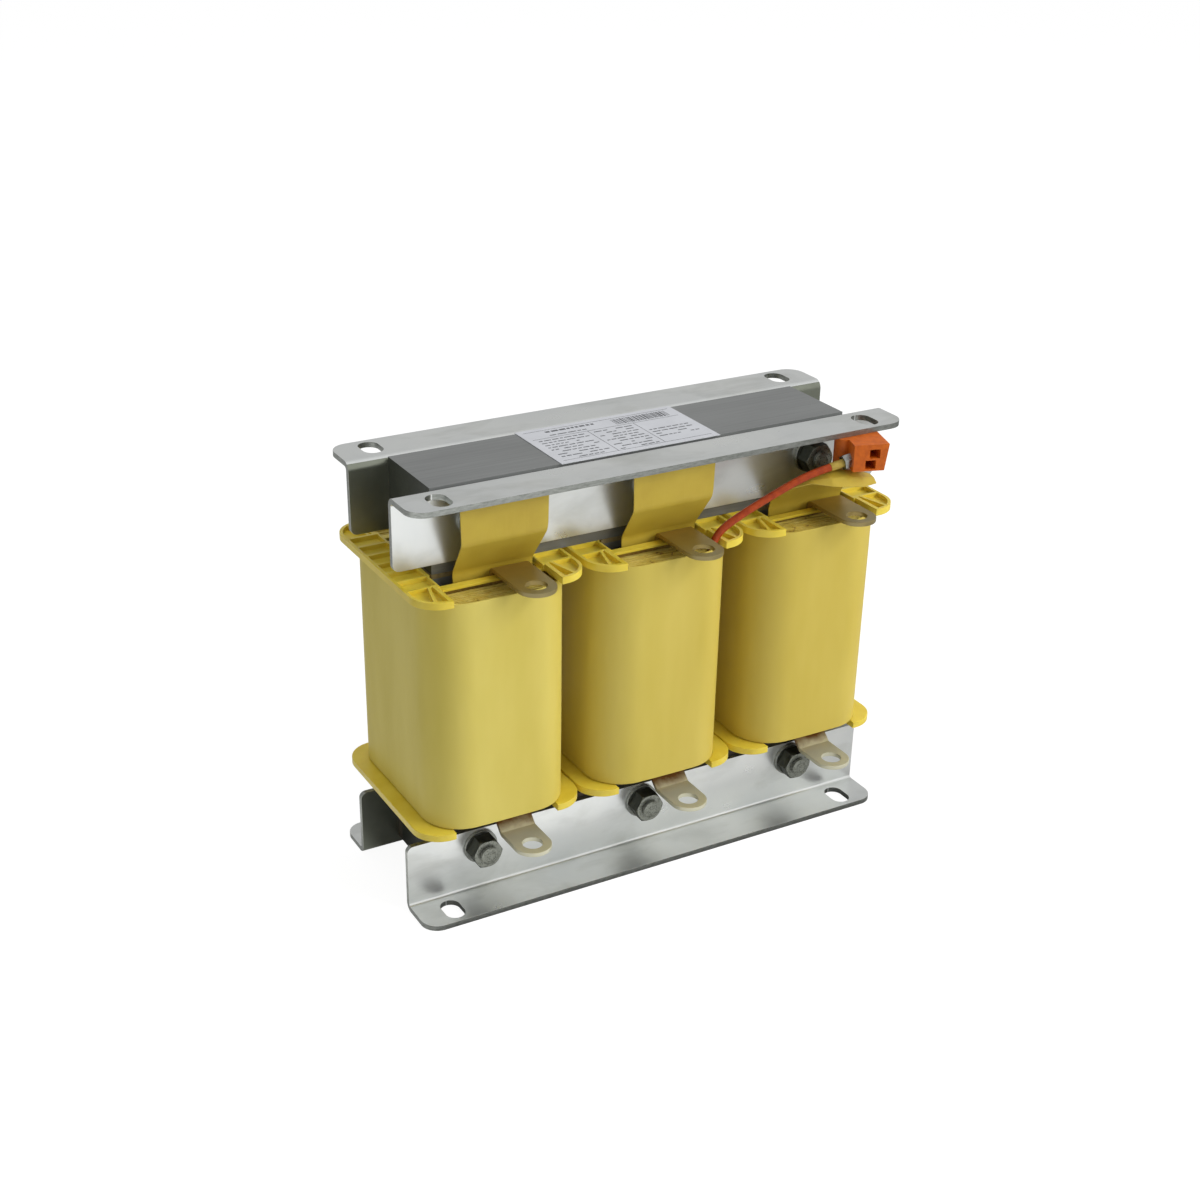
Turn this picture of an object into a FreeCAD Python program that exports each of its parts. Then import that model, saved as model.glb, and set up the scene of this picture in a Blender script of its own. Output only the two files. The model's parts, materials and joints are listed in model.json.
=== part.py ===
import FreeCAD
import Part
import math
import os
import Sketcher

# Three-phase filter reactor: a laminated core with three wound limbs, clamped between
# four galvanised steel angles that are also its feet and its upper fixing flanges.
# Frame: X along the core, front at -Y, Z up, origin under the middle of the whole outline.
# The pieces are laid out from the core's middle and then moved back together, because
# the terminals reach further out at the front than anything does at the rear.

V = FreeCAD.Vector

# Driving dimensions in millimetres, one row of the sheet each
SIZES = {
    # Core
    "overall_height": 194.0,
    "stack_depth": 41.0,
    "yoke_height": 38.0,
    "window_height": 113.2,
    "limb_width": 44.0,
    "limb_pitch": 80.0,
    "gap_pad_thickness": 2.0,
    # Steel angles
    "bracket_length": 240.0,
    "bracket_web": 32.5,
    "bracket_flange": 23.0,
    "bracket_sheet": 2.5,
    "bend_radius": 1.5,
    "flange_corner": 8.0,
    "web_corner": 3.0,
    "slot_width": 9.0,
    "slot_length": 14.0,
    "slot_spacing": 208.0,
    "slot_edge": 9.5,
    "spacer_thickness": 4.0,
    "spacer_height": 30.2,
    # Through bolts
    "bolt_pitch": 83.0,
    "bolt_diameter": 8.0,
    "bolt_hole": 9.0,
    "upper_bolt_drop": 16.0,
    "lower_bolt_rise": 23.9,
    "lower_bolt_shift": -2.0,
    "nut_across_flats": 13.0,
    "nut_height": 7.0,
    "washer_diameter": 16.0,
    "washer_thickness": 1.6,
    "thread_end": 1.8,
    # Winding and its wrap
    "tube_clearance": 0.8,
    "tube_wall": 1.2,
    "duct_depth": 7.5,
    "winding_side": 9.0,
    "winding_front": 16.7,
    "winding_corner": 18.5,
    "winding_recess": 1.5,
    "winding_layer": 3.0,
    "layer_groove": 0.8,
    "groove_depth": 2.5,
    "wrap_thickness": 0.5,
    "wrap_edge": 0.5,
    # Moulded end frames
    "frame_thickness": 3.2,
    "frame_floor": 1.2,
    "frame_half_width": 38.8,
    "frame_half_depth": 47.5,
    "frame_corner": 12.5,
    "lower_frame_half_width": 39.5,
    "lower_frame_half_depth": 45.0,
    "lower_frame_corner": 13.0,
    "frame_rim": 1.5,
    "lobe_inner": 24.5,
    "notch_depth": 15.5,
    "notch_bar": 2.0,
    "rib_thickness": 1.4,
    "side_rib_pitch": 10.0,
    "side_rib_count": 5.0,
    "lobe_root": 31.0,
    "lobe_rib_root": 28.0,
    "lobe_rib_tip": 31.5,
    # Copper terminals
    "terminal_width": 17.0,
    "terminal_thickness": 2.0,
    "terminal_offset": 10.0,
    "terminal_reach": 60.5,
    "terminal_bend": 1.4,
    "terminal_leg": 40.0,
    "terminal_hole": 9.0,
    "upper_flag_level": 157.5,
    "lower_flag_level": 32.8,
    "lower_exit_level": 36.8,
    "lower_reach": 57.3,
    "joggle_start": 30.5,
    "joggle_end": 35.0,
    # Insulation sheets behind the upper terminals
    "sheet_thickness": 0.5,
    "sheet_width": 40.0,
    "sheet_foot_width": 36.0,
    "sheet_offset": 3.5,
    "sheet_lean": 36.6,
    "sheet_tuck": 12.0,
    "sheet_gap": 2.5,
    # Two-pole terminal block and its lead
    "block_width": 15.8,
    "block_depth": 20.0,
    "block_height": 12.0,
    "block_corner_x": 84.1,
    "block_corner_y": 53.9,
    "block_turn": 18.0,
    "block_port": 4.7,
    "block_port_depth": 9.0,
    "block_pole_pitch": 4.9,
    "block_port_inset": 9.5,
    "block_port_step": 1.7,
    "block_port_drop": 0.7,
    "block_slant": 1.6,
    "block_lug": 1.0,
    "block_lug_depth": 12.0,
    "block_lug_radius": 4.0,
    "entry_inset": 5.2,
    "entry_level": 3.4,
    "entry_depth": 2.0,
    "collar_width": 6.0,
    "collar_length": 3.4,
    "lead_diameter": 3.4,
    "lead_socket": 3.5,
    "sleeve_diameter": 3.7,
    "lead_share": 0.5,
    # Rating label on the core
    "label_length": 78.0,
    "label_depth": 43.0,
    "label_thickness": 0.3,
    "label_offset": 3.0,
}

# The lead's route from the middle coil to the block, chosen by hand: x, y, z
LEAD_ROUTE = [
    (20.6, -41.6, 149.4),
    (21.5, -41.9, 155.2),
    (25.2, -42.7, 160.3),
    (31.4, -43.4, 164.0),
    (40.0, -43.8, 167.9),
    (49.0, -44.3, 171.6),
    (58.0, -45.2, 175.5),
    (67.2, -46.4, 179.0),
]

# The free edge of the bent insulation sheet, from left to right: x, then y and z of the point
# that pulls its crest up, and y and z of its lip
BENT_SHEET = [
    (61.0, -38.5, 170.5, -42.0, 172.0),
    (68.0, -42.5, 178.5, -46.5, 174.5),
    (76.0, -45.0, 187.0, -52.0, 173.5),
    (84.0, -45.5, 189.5, -53.5, 172.5),
    (92.0, -45.5, 186.0, -53.0, 171.0),
    (100.0, -45.0, 179.0, -51.0, 170.5),
]

doc = FreeCAD.newDocument("filter_reactor")
sheet = doc.addObject("Spreadsheet::Sheet", "Sizes")
parts = []


def fill_sheet():
    for row, (name, value) in enumerate(SIZES.items(), start=1):
        sheet.set(f"A{row}", name)
        sheet.set(f"B{row}", str(value))
        sheet.setAlias(f"B{row}", name)
    doc.recompute()


def cell(name):
    return float(getattr(sheet, name))


fill_sheet()

# Places worked out from the driving dimensions, as expressions on the sheet
CORE_BOTTOM = "(Sizes.overall_height - 2 * Sizes.yoke_height - Sizes.window_height)"
WINDOW_BOTTOM = "(Sizes.overall_height - Sizes.yoke_height - Sizes.window_height)"
WINDOW_TOP = "(Sizes.overall_height - Sizes.yoke_height)"
STACK_FACE = "(Sizes.stack_depth / 2)"
LOWER_WEB_FACE = f"({STACK_FACE} + Sizes.spacer_thickness)"
BORE_HALF_WIDTH = "(Sizes.limb_width / 2 + Sizes.tube_clearance)"
BORE_HALF_DEPTH = f"({STACK_FACE} + Sizes.duct_depth)"
TUBE_HALF_WIDTH = f"({BORE_HALF_WIDTH} + Sizes.tube_wall)"
TUBE_HALF_DEPTH = f"({BORE_HALF_DEPTH} + Sizes.tube_wall)"
COIL_HALF_WIDTH = f"({TUBE_HALF_WIDTH} + Sizes.winding_side)"
COIL_HALF_DEPTH = f"({TUBE_HALF_DEPTH} + Sizes.winding_front)"
COIL_HEIGHT = "(Sizes.window_height - 2 * Sizes.frame_thickness)"
WINDING_HEIGHT = f"({COIL_HEIGHT} - 2 * Sizes.winding_recess)"
BOLT_PLACES = ("left", -1), ("centre", 0), ("right", 1)
LIMBS = ("left", -1), ("centre", 0), ("right", 1)

# The same places as numbers, for the few shapes that are not sketched
core_bottom = cell("overall_height") - 2 * cell("yoke_height") - cell("window_height")
window_bottom = core_bottom + cell("yoke_height")
window_top = window_bottom + cell("window_height")
stack_face = cell("stack_depth") / 2
upper_web_outer = stack_face + cell("bracket_sheet")
lower_web_outer = stack_face + cell("spacer_thickness") + cell("bracket_sheet")
bore_half_depth = stack_face + cell("duct_depth")
upper_bolt_level = cell("overall_height") - cell("upper_bolt_drop")
lower_bolt_level = cell("lower_bolt_rise")
flange_underside = cell("overall_height") - cell("bracket_sheet")


def keep(item, label):
    item.Label = label
    parts.append(item)
    return item


def place(item, x="0", y="0", z="0", axis=None, angle=0):
    if axis is not None:
        item.Placement = FreeCAD.Placement(V(0, 0, 0), FreeCAD.Rotation(axis, angle))
    for letter, expression in zip("xyz", (x, y, z)):
        item.setExpression(f"Placement.Base.{letter}", str(expression))


def new_body(label):
    body = doc.addObject("PartDesign::Body", label)
    return keep(body, label)


def new_sketch(body, role, level="0"):
    sketch = body.newObject("Sketcher::SketchObject", body.Name + "_sketch")
    support = [item for item in body.Origin.OriginFeatures if item.Role == role][0]
    sketch.AttachmentSupport = [(support, "")]
    sketch.MapMode = "FlatFace"
    sketch.setExpression("AttachmentOffset.Base.z", level)
    return sketch


def fix_points(sketch, fixed, others=()):
    """Adds all constraints at once; each fixed point is (geometry, end, x, y) from the origin."""
    constraints = list(others)
    formulas = []
    for geometry, end, x, y in fixed:
        for kind, expression in (("DistanceX", x), ("DistanceY", y)):
            formulas.append((len(constraints), str(expression)))
            constraints.append(Sketcher.Constraint(kind, -1, 1, geometry, end, 1.0))
    first = sketch.ConstraintCount
    sketch.addConstraint(constraints)
    for index, formula in formulas:
        sketch.setExpression(f"Constraints[{first + index}]", formula)


def fix_point(sketch, geometry, end, x, y):
    fix_points(sketch, [(geometry, end, x, y)])


def add_polygon(sketch, points):
    count = len(points)
    first = sketch.GeometryCount
    start = [V(math.cos(2 * math.pi * i / count), math.sin(2 * math.pi * i / count), 0) for i in range(count)]
    sketch.addGeometry([Part.LineSegment(start[i], start[(i + 1) % count]) for i in range(count)], False)
    joints = [Sketcher.Constraint("Coincident", first + i, 2, first + (i + 1) % count, 1) for i in range(count)]
    fix_points(sketch, [(first + i, 1, x, y) for i, (x, y) in enumerate(points)], joints)


def add_rectangle(sketch, x_low, x_high, y_low, y_high):
    add_polygon(sketch, [(x_low, y_low), (x_high, y_low), (x_high, y_high), (x_low, y_high)])


def add_circle(sketch, x, y, diameter):
    index = sketch.addGeometry(Part.Circle(V(0, 0, 0), V(0, 0, 1), 1.0), False)
    fix_point(sketch, index, 3, x, y)
    radius = sketch.addConstraint(Sketcher.Constraint("Radius", index, 1.0))
    sketch.setExpression(f"Constraints[{radius}]", f"{diameter} / 2")


def pad(body, sketch, length, symmetric=False, reverse=False):
    feature = body.newObject("PartDesign::Pad", body.Name + "_pad")
    feature.Profile = sketch
    feature.setExpression("Length", length)
    feature.SideType = "Symmetric" if symmetric else "One side"
    feature.Reversed = reverse
    doc.recompute()
    return feature


def pocket(body, sketch, length, symmetric=False, reverse=False):
    before = body.Shape.Volume
    feature = body.newObject("PartDesign::Pocket", body.Name + "_pocket")
    feature.Profile = sketch
    feature.setExpression("Length", length)
    feature.SideType = "Symmetric" if symmetric else "One side"
    feature.Reversed = reverse
    doc.recompute()
    if not body.Shape.Volume < before:
        raise RuntimeError("a pocket cut nothing in " + body.Label)
    return feature


def fillet(body, chosen, radius):
    tip = body.Tip
    names = [f"Edge{i}" for i, edge in enumerate(tip.Shape.Edges, start=1) if chosen(edge)]
    if not names:
        raise RuntimeError("no edge to round in " + body.Label)
    feature = body.newObject("PartDesign::Fillet", body.Name + "_fillet")
    feature.Base = (tip, names)
    feature.setExpression("Radius", radius)
    doc.recompute()
    return feature


def runs_along(edge, direction):
    if not isinstance(edge.Curve, Part.Line):
        return False
    return abs(abs(edge.Curve.Direction.dot(direction)) - 1) < 1e-6


def middle(edge):
    return edge.BoundBox.Center


# Laminated core
def make_yoke(label, level, bolt_level, bolt_shift):
    body = new_body(label)
    outline = new_sketch(body, "XZ_Plane")
    half = "(Sizes.limb_pitch + Sizes.limb_width / 2)"
    add_rectangle(outline, "-" + half, half, "0", "Sizes.yoke_height")
    pad(body, outline, "Sizes.stack_depth", symmetric=True)
    holes = new_sketch(body, "XZ_Plane")
    for _, side in BOLT_PLACES:
        add_circle(holes, f"{side} * Sizes.bolt_pitch + {bolt_shift}", bolt_level, "Sizes.bolt_hole")
    pocket(body, holes, "Sizes.stack_depth + 2", symmetric=True)
    place(body, z=level)


def make_limb(name, side):
    body = new_body("limb_" + name)
    outline = new_sketch(body, "XY_Plane")
    add_rectangle(outline, "-Sizes.limb_width / 2", "Sizes.limb_width / 2", "-" + STACK_FACE, STACK_FACE)
    pad(body, outline, "Sizes.window_height - 2 * Sizes.gap_pad_thickness")
    place(body, x=f"{side} * Sizes.limb_pitch", z=f"{WINDOW_BOTTOM} + Sizes.gap_pad_thickness")


def make_gap_pad(name, side, where, level):
    body = new_body(f"{where}_gap_pad_{name}")
    outline = new_sketch(body, "XY_Plane")
    add_rectangle(outline, "-Sizes.limb_width / 2", "Sizes.limb_width / 2", "-" + STACK_FACE, STACK_FACE)
    pad(body, outline, "Sizes.gap_pad_thickness")
    place(body, x=f"{side} * Sizes.limb_pitch", z=level)


# Bent steel angles: local frame has the web's inner face at y 0, the flange's outer face at z 0
def add_slot(sketch, x, y):
    width, length = cell("slot_width"), cell("slot_length")
    reach = "(Sizes.slot_length - Sizes.slot_width) / 2"
    first = sketch.GeometryCount
    near, far = V(0, 0, 0), V(0, length - width, 0)
    across = V(0, 0, 1)
    sketch.addGeometry(Part.ArcOfCircle(Part.Circle(near, across, width / 2), math.pi, 2 * math.pi), False)
    sketch.addGeometry(Part.ArcOfCircle(Part.Circle(far, across, width / 2), 0, math.pi), False)
    side = V(width / 2, 0, 0)
    sketch.addGeometry(Part.LineSegment(near + side, far + side), False)
    sketch.addGeometry(Part.LineSegment(far - side, near - side), False)
    for one, one_end, other, other_end in ((0, 2, 2, 1), (2, 2, 1, 1), (1, 2, 3, 1), (3, 2, 0, 1)):
        sketch.addConstraint(Sketcher.Constraint("Coincident", first + one, one_end, first + other, other_end))
    for arc in (0, 1):
        radius = sketch.addConstraint(Sketcher.Constraint("Radius", first + arc, width / 2))
        sketch.setExpression(f"Constraints[{radius}]", "Sizes.slot_width / 2")
        sketch.addConstraint(Sketcher.Constraint("Horizontal", first + arc, 3, first + arc, 1))
        sketch.addConstraint(Sketcher.Constraint("Horizontal", first + arc, 3, first + arc, 2))
    fix_point(sketch, first, 3, x, f"{y} - {reach}")
    fix_point(sketch, first + 1, 3, x, f"{y} + {reach}")


def make_bracket(label, bolt_drop, bolt_shift, turn_axis, turn, y, z):
    body = new_body(label)
    profile = new_sketch(body, "YZ_Plane")
    flange, sheet_gauge, web = "-Sizes.bracket_flange", "-Sizes.bracket_sheet", "-Sizes.bracket_web"
    add_polygon(profile, [("0", "0"), (flange, "0"), (flange, sheet_gauge), (sheet_gauge, sheet_gauge),
                          (sheet_gauge, web), ("0", web)])
    pad(body, profile, "Sizes.bracket_length", symmetric=True)
    gauge = cell("bracket_sheet")

    def at_bend(edge, inner):
        spot = middle(edge)
        offset = -gauge if inner else 0
        return runs_along(edge, V(1, 0, 0)) and abs(spot.y - offset) < 0.01 and abs(spot.z - offset) < 0.01

    fillet(body, lambda edge: at_bend(edge, False), "Sizes.bend_radius + Sizes.bracket_sheet")
    fillet(body, lambda edge: at_bend(edge, True), "Sizes.bend_radius")
    fillet(body, lambda edge: runs_along(edge, V(0, 0, 1)) and abs(middle(edge).y + cell("bracket_flange")) < 0.01,
           "Sizes.flange_corner")
    fillet(body, lambda edge: runs_along(edge, V(0, 1, 0)) and abs(middle(edge).z + cell("bracket_web")) < 0.01,
           "Sizes.web_corner")
    slots = new_sketch(body, "XY_Plane")
    for side in (-1, 1):
        add_slot(slots, f"{side} * Sizes.slot_spacing / 2", "-(Sizes.bracket_flange - Sizes.slot_edge)")
    pocket(body, slots, "4 * Sizes.bracket_sheet", symmetric=True)
    holes = new_sketch(body, "XZ_Plane")
    for _, side in BOLT_PLACES:
        add_circle(holes, f"{side} * Sizes.bolt_pitch + {bolt_shift}", f"-{bolt_drop}", "Sizes.bolt_hole")
    pocket(body, holes, "4 * Sizes.bracket_sheet", symmetric=True)
    place(body, y=y, z=z, axis=turn_axis, angle=turn)


def make_spacer(label, sign):
    body = new_body(label)
    half = "(Sizes.limb_pitch + Sizes.limb_width / 2)"
    outline = new_sketch(body, "XZ_Plane")
    add_rectangle(outline, "-" + half, half, CORE_BOTTOM, f"{CORE_BOTTOM} + Sizes.spacer_height")
    pad(body, outline, "Sizes.spacer_thickness", symmetric=True)
    holes = new_sketch(body, "XZ_Plane")
    for _, side in BOLT_PLACES:
        centre = f"{side} * Sizes.bolt_pitch + Sizes.lower_bolt_shift"
        add_circle(holes, centre, "Sizes.lower_bolt_rise", "Sizes.bolt_hole")
    pocket(body, holes, "Sizes.spacer_thickness + 2", symmetric=True)
    place(body, y=f"{sign} * ({STACK_FACE} + Sizes.spacer_thickness / 2)")


# Through bolts, one node for each kind of fastener
def bolt_centres():
    rows = ((upper_bolt_level, upper_web_outer, 0.0),
            (lower_bolt_level, lower_web_outer, cell("lower_bolt_shift")))
    for level, face, shift in rows:
        for _, side in BOLT_PLACES:
            yield side * cell("bolt_pitch") + shift, level, face


def hexagon(x, y, z, height):
    corner = cell("nut_across_flats") / math.sqrt(3)
    rim = [V(x + corner * math.cos(math.radians(60 * i)), y, z + corner * math.sin(math.radians(60 * i)))
           for i in range(7)]
    prism = Part.Face(Part.makePolygon(rim)).extrude(V(0, -height, 0))
    flat = cell("nut_across_flats") / 2
    blank = Part.makeCone(flat + 2 * height, flat * 0.98, 2 * height + 0.2, V(x, y + height, z), V(0, -1, 0))
    return prism.common(blank)


def group(label, solids):
    item = doc.addObject("Part::Feature", label)
    item.Shape = Part.makeCompound(solids)
    return keep(item, label)


def make_fasteners():
    bolts, heads_and_nuts, washers = [], [], []
    washer, nut = cell("washer_thickness"), cell("nut_height")
    shank, hole = cell("bolt_diameter") / 2, cell("bolt_hole") / 2
    for x, z, face in bolt_centres():
        reach = face + washer + nut + cell("thread_end")
        stem = Part.makeCylinder(shank, reach + face + washer, V(x, face + washer, z), V(0, -1, 0))
        head = hexagon(x, face + washer + nut, z, nut)
        bolts.append(stem.fuse(head).removeSplitter())
        blank = hexagon(x, -(face + washer), z, nut)
        bore = Part.makeCylinder(shank, nut, V(x, -(face + washer), z), V(0, -1, 0))
        heads_and_nuts.append(blank.cut(bore))
        for y in (face + washer, -face):
            disc = Part.makeCylinder(cell("washer_diameter") / 2, washer, V(x, y, z), V(0, -1, 0))
            washers.append(disc.cut(Part.makeCylinder(hole, washer, V(x, y, z), V(0, -1, 0))))
    group("through_bolts", bolts)
    group("hex_nuts", heads_and_nuts)
    group("plain_washers", washers)


# Coils
def make_ring(label, half_width, half_depth, corner, hole_half_width, hole_half_depth, height, x, z):
    body = new_body(label)
    outline = new_sketch(body, "XY_Plane")
    add_rectangle(outline, "-" + half_width, half_width, "-" + half_depth, half_depth)
    pad(body, outline, height)
    if corner is not None:
        fillet(body, lambda edge: runs_along(edge, V(0, 0, 1)), corner)
    bore = new_sketch(body, "XY_Plane")
    add_rectangle(bore, "-" + hole_half_width, hole_half_width, "-" + hole_half_depth, hole_half_depth)
    pocket(body, bore, height, reverse=True)
    place(body, x=x, z=z)
    return body


def rounded_prism(half_width, half_depth, corner, low, high):
    block = Part.makeBox(2 * half_width, 2 * half_depth, high - low, V(-half_width, -half_depth, low))
    return block.makeFillet(corner, [edge for edge in block.Edges if runs_along(edge, V(0, 0, 1))])


def make_winding(name, side):
    """Sheet winding: its turns stand apart a little at the two ends, and one takes the sensor's lead."""
    half_width = cell("limb_width") / 2 + cell("tube_clearance") + cell("tube_wall") + cell("winding_side")
    half_depth = bore_half_depth + cell("tube_wall") + cell("winding_front")
    skin = cell("wrap_thickness")
    height = cell("window_height") - 2 * cell("frame_thickness") - 2 * cell("winding_recess")
    corner = cell("winding_corner") - skin
    coil = rounded_prism(half_width - skin, half_depth - skin, corner, 0, height)
    inner_width = half_width - cell("winding_side")
    inner_depth = half_depth - cell("winding_front")
    coil = coil.cut(Part.makeBox(2 * inner_width, 2 * inner_depth, height, V(-inner_width, -inner_depth, 0)))
    layer, groove, depth = cell("winding_layer"), cell("layer_groove"), cell("groove_depth")
    turns = int((cell("winding_side") - skin) / layer)
    for turn in range(1, turns):
        inset = skin + turn * layer
        for low in (0, height - depth):
            outside = rounded_prism(half_width - inset, half_depth - inset, corner - turn * layer, low, low + depth)
            inside = rounded_prism(half_width - inset - groove, half_depth - inset - groove,
                                   corner - turn * layer - groove, low, low + depth)
            coil = coil.cut(outside.cut(inside))
    if side == 0:
        floor = V(0, 0, window_bottom + cell("frame_thickness") + cell("winding_recess"))
        end, following = V(*LEAD_ROUTE[0]) - floor, V(*LEAD_ROUTE[1]) - floor
        coil = coil.cut(Part.makeCylinder(cell("lead_socket") / 2, height, end, following - end))
    item = doc.addObject("Part::Feature", "winding_" + name)
    item.Shape = coil
    keep(item, "winding_" + name)
    place(item, x=f"{side} * Sizes.limb_pitch", z=f"{WINDOW_BOTTOM} + Sizes.frame_thickness + Sizes.winding_recess")


def make_wrap(name, side):
    """Insulation wrapped round the winding, a thin tube with round corners."""
    half_width = cell("limb_width") / 2 + cell("tube_clearance") + cell("tube_wall") + cell("winding_side")
    half_depth = bore_half_depth + cell("tube_wall") + cell("winding_front")
    skin = cell("wrap_thickness")
    height = cell("window_height") - 2 * cell("frame_thickness") - 2 * cell("wrap_edge")
    outside = rounded_prism(half_width, half_depth, cell("winding_corner"), 0, height)
    inside = rounded_prism(half_width - skin, half_depth - skin, cell("winding_corner") - skin, 0, height)
    item = doc.addObject("Part::Feature", "outer_wrap_" + name)
    item.Shape = outside.cut(inside)
    keep(item, "outer_wrap_" + name)
    place(item, x=f"{side} * Sizes.limb_pitch", z=f"{WINDOW_BOTTOM} + Sizes.frame_thickness + Sizes.wrap_edge")


def make_tube(name, side):
    """Insulating tube round the limb, which carries the winding."""
    make_ring("coil_tube_" + name, TUBE_HALF_WIDTH, TUBE_HALF_DEPTH, "2 * Sizes.tube_wall",
              BORE_HALF_WIDTH, BORE_HALF_DEPTH, COIL_HEIGHT,
              f"{side} * Sizes.limb_pitch", f"{WINDOW_BOTTOM} + Sizes.frame_thickness")


# Moulded end frame: a tray of pockets and ribs, with a lobe over each round corner of the coil
def mirrored(points, sign_x, sign_y):
    return [(f"{sign_x} * ({x})", f"{sign_y} * ({y})") for x, y in points]


def frame_outline(upper):
    """Half width, half depth and corner radius; the lower frames are a little wider and less deep."""
    stem = "Sizes.frame_" if upper else "Sizes.lower_frame_"
    return stem + "half_width", stem + "half_depth", stem + "corner"


def corner_arc(outline, start, end, steps):
    """Points on the inside of the rim's round corner, from one angle to another in degrees."""
    half_width, half_depth, corner = outline
    radius = f"({corner} - Sizes.frame_rim)"
    points = []
    for i in range(steps + 1):
        turn = math.radians(start + (end - start) * i / steps)
        points.append((f"{half_width} - {corner} + {math.cos(turn):.6f} * {radius}",
                       f"{half_depth} - {corner} + {math.sin(turn):.6f} * {radius}"))
    return points


def lobe_cells(outline):
    """Two cells in the lobe at +X +Y, parted by a rib that leans outwards."""
    half_width, half_depth, _ = outline
    inner = "Sizes.lobe_inner + Sizes.notch_bar"
    outer = f"{half_width} - Sizes.frame_rim"
    tip = f"{half_depth} - Sizes.frame_rim"
    root = "Sizes.lobe_root"
    half = "Sizes.rib_thickness / 2"
    near_root, far_root = f"Sizes.lobe_rib_root - {half}", f"Sizes.lobe_rib_root + {half}"
    near_tip, far_tip = f"Sizes.lobe_rib_tip - {half}", f"Sizes.lobe_rib_tip + {half}"
    first = [(inner, root), (near_root, root), (near_tip, f"{tip} - 1"), (inner, tip)]
    second = [(far_root, root), (outer, root)] + corner_arc(outline, 0, 54, 5) + [(far_tip, f"{tip} - 1.6")]
    return [first, second]


def side_cells(outline):
    """Cells down the side at +X between level ribs."""
    inner, outer = "Sizes.lobe_inner", f"{outline[0]} - Sizes.frame_rim"
    half = "Sizes.rib_thickness / 2"
    count = int(cell("side_rib_count"))
    first = (count - 1) / 2
    edges = [f"({i - first}) * Sizes.side_rib_pitch" for i in range(count)]
    bounds = [("-(Sizes.lobe_root - Sizes.rib_thickness)", f"{edges[0]} - {half}")]
    for low, high in zip(edges, edges[1:]):
        bounds.append((f"{low} + {half}", f"{high} - {half}"))
    bounds.append((f"{edges[-1]} + {half}", "Sizes.lobe_root - Sizes.rib_thickness"))
    return [[(inner, low), (outer, low), (outer, high), (inner, high)] for low, high in bounds]


def make_end_frame(label, side, upper):
    body = new_body(label)
    outline = frame_outline(upper)
    half_width, half_depth, corner = outline
    plate = new_sketch(body, "XY_Plane")
    add_rectangle(plate, "-" + half_width, half_width, "-" + half_depth, half_depth)
    pad(body, plate, "Sizes.frame_thickness")
    fillet(body, lambda edge: runs_along(edge, V(0, 0, 1)), corner)
    # Notches between the lobes, front and rear, where the winding's edge shows
    notches = new_sketch(body, "XY_Plane")
    for sign in (-1, 1):
        near = f"{sign} * (Sizes.frame_half_depth - Sizes.notch_depth)"
        far = f"{sign} * ({half_depth} + 5)"
        add_rectangle(notches, "-Sizes.lobe_inner", "Sizes.lobe_inner", near, far)
    pocket(body, notches, "Sizes.frame_thickness", reverse=True)
    # Cells between the ribs, open towards the yoke
    depth = "Sizes.frame_thickness - Sizes.frame_floor"
    cells = new_sketch(body, "XY_Plane", "Sizes.frame_thickness")
    for sign_x in (-1, 1):
        for points in side_cells(outline):
            add_polygon(cells, mirrored(points, sign_x, 1))
        for sign_y in (-1, 1):
            for points in lobe_cells(outline):
                add_polygon(cells, mirrored(points, sign_x, sign_y))
    pocket(body, cells, depth)
    # The middle bars are cut down to the floor so that the copper passes over them
    bars = new_sketch(body, "XY_Plane", "Sizes.frame_thickness")
    for sign in (-1, 1):
        add_rectangle(bars, "-Sizes.lobe_inner + 1", "Sizes.lobe_inner - 1",
                      f"{sign} * {STACK_FACE}", f"{sign} * {half_depth}")
    pocket(body, bars, depth)
    # Opening for the limb and its cooling ducts
    bore = new_sketch(body, "XY_Plane")
    add_rectangle(bore, "-" + BORE_HALF_WIDTH, BORE_HALF_WIDTH, "-" + BORE_HALF_DEPTH, BORE_HALF_DEPTH)
    pocket(body, bore, "Sizes.frame_thickness", reverse=True)
    x = f"{side} * Sizes.limb_pitch"
    if upper:
        place(body, x=x, z=f"{WINDOW_TOP} - Sizes.frame_thickness")
    else:
        place(body, x=x, z=f"{WINDOW_BOTTOM} + Sizes.frame_thickness", axis=V(1, 0, 0), angle=180)


# Bent copper bars
def bent_strip(route, thickness, inner_radius, width):
    """A strip of even thickness along a route in the YZ plane, with round bends."""
    edges = []
    middle_radius = inner_radius + thickness / 2
    points = [V(-width / 2, y, z) for y, z in route]
    last = points[0]
    for before, corner, after in zip(points, points[1:], points[2:]):
        arriving = (corner - before).normalize()
        leaving = (after - corner).normalize()
        turn = arriving.getAngle(leaving)
        trim = middle_radius * math.tan(turn / 2)
        start, end = corner - arriving * trim, corner + leaving * trim
        inward = (leaving - arriving).normalize()
        centre = corner + inward * (middle_radius / math.cos(turn / 2))
        crown = centre - inward * middle_radius
        edges.append(Part.LineSegment(last, start).toShape())
        edges.append(Part.Arc(start, crown, end).toShape())
        last = end
    edges.append(Part.LineSegment(last, points[-1]).toShape())
    line = Part.Wire(edges)
    one = line.makeOffset2D(thickness / 2, fill=False, openResult=True, join=2)
    other = line.makeOffset2D(-thickness / 2, fill=False, openResult=True, join=2)
    caps = []
    for pick in (0, -1):
        caps.append(Part.LineSegment(one.OrderedVertexes[pick].Point, other.OrderedVertexes[pick].Point).toShape())
    outline = Part.Wire(Part.__sortEdges__(one.Edges + other.Edges + caps))
    return Part.Face(outline).extrude(V(width, 0, 0))


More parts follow.
